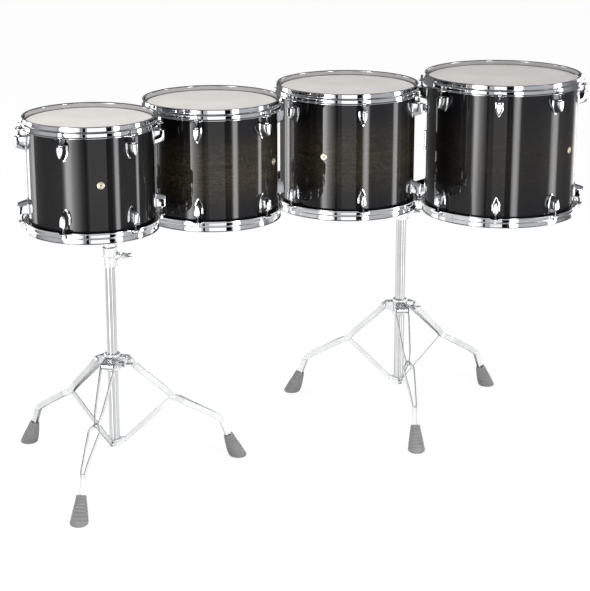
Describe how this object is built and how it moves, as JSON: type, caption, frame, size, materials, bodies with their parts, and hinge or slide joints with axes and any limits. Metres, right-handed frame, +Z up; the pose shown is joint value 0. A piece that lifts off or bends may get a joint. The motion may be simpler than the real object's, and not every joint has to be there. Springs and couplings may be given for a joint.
{
  "type": "concert tom set",
  "caption": "Double-headed concert toms of rising size in pairs on folding double-braced tripod stands with tilting arms.",
  "frame": {"origin": "on the floor under the middle of the set's bounding box", "axes": "+X along the row from the smallest tom to the largest, +Y from the player towards the posts, +Z up"},
  "size_m": [1.6122, 0.7882, 1.025],
  "materials": {
    "lacquered_shell": "gloss lacquer over stained wood, dark at the edges",
    "head_film": "coated warm white film",
    "chrome_hoop": "polished chrome plate",
    "chrome_tube": "polished chrome plate",
    "chrome_strip": "chrome plated steel strip",
    "chrome_casting": "chrome plated die casting",
    "rubber_foot": "grey moulded rubber"
  },
  "bodies": {
    "floor_frames": {"left_base_tube": "chrome_tube", "left_height_clamp": "chrome_casting", "right_base_tube": "chrome_tube", "right_height_clamp": "chrome_casting"},
    "left_leg_hub": {"left_leg_hub": "chrome_casting"},
    "left_hub_wing_screw": {"left_hub_wing_screw": "chrome_casting"},
    "left_leg_1": {"left_leg_1": "chrome_strip", "left_foot_1": "rubber_foot"},
    "left_strut_1": {"left_strut_1": "chrome_strip"},
    "left_leg_2": {"left_leg_2": "chrome_strip", "left_foot_2": "rubber_foot"},
    "left_strut_2": {"left_strut_2": "chrome_strip"},
    "left_leg_3": {"left_leg_3": "chrome_strip", "left_foot_3": "rubber_foot"},
    "left_strut_3": {"left_strut_3": "chrome_strip"},
    "left_height_wing_screw": {"left_height_wing_screw": "chrome_casting"},
    "left_stop_lock": {"left_stop_lock": "chrome_casting"},
    "left_post": {"left_post": "chrome_tube"},
    "left_arm_left": {"left_arm_left": "chrome_tube"},
    "tom_12": {"tom_12_shell": "lacquered_shell", "tom_12_batter_head": "head_film", "tom_12_resonant_head": "head_film", "tom_12_batter_hoop": "chrome_hoop", "tom_12_resonant_hoop": "chrome_hoop", "tom_12_bracket": "chrome_casting"},
    "left_arm_right": {"left_arm_right": "chrome_tube"},
    "tom_13": {"tom_13_shell": "lacquered_shell", "tom_13_batter_head": "head_film", "tom_13_resonant_head": "head_film", "tom_13_batter_hoop": "chrome_hoop", "tom_13_resonant_hoop": "chrome_hoop", "tom_13_bracket": "chrome_casting"},
    "right_leg_hub": {"right_leg_hub": "chrome_casting"},
    "right_hub_wing_screw": {"right_hub_wing_screw": "chrome_casting"},
    "right_leg_1": {"right_leg_1": "chrome_strip", "right_foot_1": "rubber_foot"},
    "right_strut_1": {"right_strut_1": "chrome_strip"},
    "right_leg_2": {"right_leg_2": "chrome_strip", "right_foot_2": "rubber_foot"},
    "right_strut_2": {"right_strut_2": "chrome_strip"},
    "right_leg_3": {"right_leg_3": "chrome_strip", "right_foot_3": "rubber_foot"},
    "right_strut_3": {"right_strut_3": "chrome_strip"},
    "right_height_wing_screw": {"right_height_wing_screw": "chrome_casting"},
    "right_stop_lock": {"right_stop_lock": "chrome_casting"},
    "right_post": {"right_post": "chrome_tube"},
    "right_arm_left": {"right_arm_left": "chrome_tube"},
    "tom_14": {"tom_14_shell": "lacquered_shell", "tom_14_batter_head": "head_film", "tom_14_resonant_head": "head_film", "tom_14_batter_hoop": "chrome_hoop", "tom_14_resonant_hoop": "chrome_hoop", "tom_14_bracket": "chrome_casting"},
    "right_arm_right": {"right_arm_right": "chrome_tube"},
    "tom_16": {"tom_16_shell": "lacquered_shell", "tom_16_batter_head": "head_film", "tom_16_resonant_head": "head_film", "tom_16_batter_hoop": "chrome_hoop", "tom_16_resonant_hoop": "chrome_hoop", "tom_16_bracket": "chrome_casting"}
  },
  "joints": [
    {"name": "left_hub_slide", "type": "slide", "parent": "floor_frames", "child": "left_leg_hub", "axis": [0, 0, 1], "range_m": [0, 0.106]},
    {"name": "left_hub_screw_turn", "type": "hinge", "parent": "left_leg_hub", "child": "left_hub_wing_screw", "pos_m": [-0.49937, 0.04565, 0.316], "axis": [0.3616, -0.9323, 0], "range_deg": [-180, 180]},
    {"name": "left_leg_1_fold", "type": "hinge", "parent": "left_leg_hub", "child": "left_leg_1", "pos_m": [-0.51564, 0.0876, 0.316], "axis": [-0.9323, -0.3616, 0], "range_deg": [0, 35.4]},
    {"name": "left_strut_1_fold", "type": "hinge", "parent": "floor_frames", "child": "left_strut_1", "pos_m": [-0.50949, 0.07175, 0.092], "axis": [0.9323, 0.3616, 0], "range_deg": [0, 37.5]},
    {"name": "left_leg_2_fold", "type": "hinge", "parent": "left_leg_hub", "child": "left_leg_2", "pos_m": [-0.52756, 0.01058, 0.316], "axis": [0.7793, -0.6266, 0], "range_deg": [0, 35.4]},
    {"name": "left_strut_2_fold", "type": "hinge", "parent": "floor_frames", "child": "left_strut_2", "pos_m": [-0.51691, 0.02383, 0.092], "axis": [-0.7793, 0.6266, 0], "range_deg": [0, 37.5]},
    {"name": "left_leg_3_fold", "type": "hinge", "parent": "left_leg_hub", "child": "left_leg_3", "pos_m": [-0.4549, 0.03877, 0.316], "axis": [0.153, 0.9882, 0], "range_deg": [0, 35.4]},
    {"name": "left_strut_3_fold", "type": "hinge", "parent": "floor_frames", "child": "left_strut_3", "pos_m": [-0.4717, 0.04137, 0.092], "axis": [-0.153, -0.9882, 0], "range_deg": [0, 37.5]},
    {"name": "left_height_screw_turn", "type": "hinge", "parent": "floor_frames", "child": "left_height_wing_screw", "pos_m": [-0.49937, 0.04565, 0.603], "axis": [0.9265, -0.3762, 0], "range_deg": [-180, 180]},
    {"name": "left_post_height", "type": "slide", "parent": "floor_frames", "child": "left_stop_lock", "axis": [0, 0, 1], "range_m": [0, 0.12]},
    {"name": "left_post_swivel", "type": "hinge", "parent": "left_stop_lock", "child": "left_post", "pos_m": [-0.49937, 0.04565, 0.0009], "axis": [0, 0, 1], "range_deg": [-3, 3]},
    {"name": "left_arm_left_tilt", "type": "hinge", "parent": "left_post", "child": "left_arm_left", "pos_m": [-0.49937, 0.04565, 0.9], "axis": [0.9851, 0.1719, 0], "range_deg": [-10, 20]},
    {"name": "tom_12_height", "type": "slide", "parent": "left_arm_left", "child": "tom_12", "axis": [0, 0, 1], "range_m": [-0.02, 0.025]},
    {"name": "left_arm_right_tilt", "type": "hinge", "parent": "left_post", "child": "left_arm_right", "pos_m": [-0.49937, 0.04565, 0.9], "axis": [0.9851, 0.1719, 0], "range_deg": [-10, 20]},
    {"name": "tom_13_height", "type": "slide", "parent": "left_arm_right", "child": "tom_13", "axis": [0, 0, 1], "range_m": [-0.02, 0.025]},
    {"name": "right_hub_slide", "type": "slide", "parent": "floor_frames", "child": "right_leg_hub", "axis": [0, 0, 1], "range_m": [0, 0.106]},
    {"name": "right_hub_screw_turn", "type": "hinge", "parent": "right_leg_hub", "child": "right_hub_wing_screw", "pos_m": [0.42763, 0.09865, 0.316], "axis": [0.5934, -0.8049, 0], "range_deg": [-180, 180]},
    {"name": "right_leg_1_fold", "type": "hinge", "parent": "right_leg_hub", "child": "right_leg_1", "pos_m": [0.40093, 0.13487, 0.316], "axis": [-0.8049, -0.5934, 0], "range_deg": [0, 35.4]},
    {"name": "right_strut_1_fold", "type": "hinge", "parent": "floor_frames", "child": "right_strut_1", "pos_m": [0.41102, 0.12119, 0.092], "axis": [0.8049, 0.5934, 0], "range_deg": [0, 37.5]},
    {"name": "right_leg_2_fold", "type": "hinge", "parent": "right_leg_hub", "child": "right_leg_2", "pos_m": [0.40962, 0.05741, 0.316], "axis": [0.9164, -0.4003, 0], "range_deg": [0, 35.4]},
    {"name": "right_strut_2_fold", "type": "hinge", "parent": "floor_frames", "child": "right_strut_2", "pos_m": [0.41642, 0.07299, 0.092], "axis": [-0.9164, 0.4003, 0], "range_deg": [0, 37.5]},
    {"name": "right_leg_3_fold", "type": "hinge", "parent": "right_leg_hub", "child": "right_leg_3", "pos_m": [0.47235, 0.10366, 0.316], "axis": [-0.1115, 0.9938, 0], "range_deg": [0, 35.4]},
    {"name": "right_strut_3_fold", "type": "hinge", "parent": "floor_frames", "child": "right_strut_3", "pos_m": [0.45546, 0.10177, 0.092], "axis": [0.1115, -0.9938, 0], "range_deg": [0, 37.5]},
    {"name": "right_height_screw_turn", "type": "hinge", "parent": "floor_frames", "child": "right_height_wing_screw", "pos_m": [0.42763, 0.09865, 0.603], "axis": [0.7443, -0.6678, 0], "range_deg": [-180, 180]},
    {"name": "right_post_height", "type": "slide", "parent": "floor_frames", "child": "right_stop_lock", "axis": [0, 0, 1], "range_m": [0, 0.12]},
    {"name": "right_post_swivel", "type": "hinge", "parent": "right_stop_lock", "child": "right_post", "pos_m": [0.42763, 0.09865, 0.0009], "axis": [0, 0, 1], "range_deg": [-3, 3]},
    {"name": "right_arm_left_tilt", "type": "hinge", "parent": "right_post", "child": "right_arm_left", "pos_m": [0.42763, 0.09865, 0.9], "axis": [0.9851, -0.1719, 0], "range_deg": [-10, 20]},
    {"name": "tom_14_height", "type": "slide", "parent": "right_arm_left", "child": "tom_14", "axis": [0, 0, 1], "range_m": [-0.02, 0.025]},
    {"name": "right_arm_right_tilt", "type": "hinge", "parent": "right_post", "child": "right_arm_right", "pos_m": [0.42763, 0.09865, 0.9], "axis": [0.9851, -0.1719, 0], "range_deg": [-10, 20]},
    {"name": "tom_16_height", "type": "slide", "parent": "right_arm_right", "child": "tom_16", "axis": [0, 0, 1], "range_m": [-0.02, 0.025]}
  ],
  "couplings": [
    {"joint": "left_leg_1_fold", "follows": "left_hub_slide", "rad_per_m": 5.7416},
    {"joint": "left_strut_1_fold", "follows": "left_hub_slide", "rad_per_m": 6.0924},
    {"joint": "left_leg_2_fold", "follows": "left_hub_slide", "rad_per_m": 5.7416},
    {"joint": "left_strut_2_fold", "follows": "left_hub_slide", "rad_per_m": 6.0924},
    {"joint": "left_leg_3_fold", "follows": "left_hub_slide", "rad_per_m": 5.7416},
    {"joint": "left_strut_3_fold", "follows": "left_hub_slide", "rad_per_m": 6.0924},
    {"joint": "right_leg_1_fold", "follows": "right_hub_slide", "rad_per_m": 5.7416},
    {"joint": "right_strut_1_fold", "follows": "right_hub_slide", "rad_per_m": 6.0924},
    {"joint": "right_leg_2_fold", "follows": "right_hub_slide", "rad_per_m": 5.7416},
    {"joint": "right_strut_2_fold", "follows": "right_hub_slide", "rad_per_m": 6.0924},
    {"joint": "right_leg_3_fold", "follows": "right_hub_slide", "rad_per_m": 5.7416},
    {"joint": "right_strut_3_fold", "follows": "right_hub_slide", "rad_per_m": 6.0924}
  ]
}
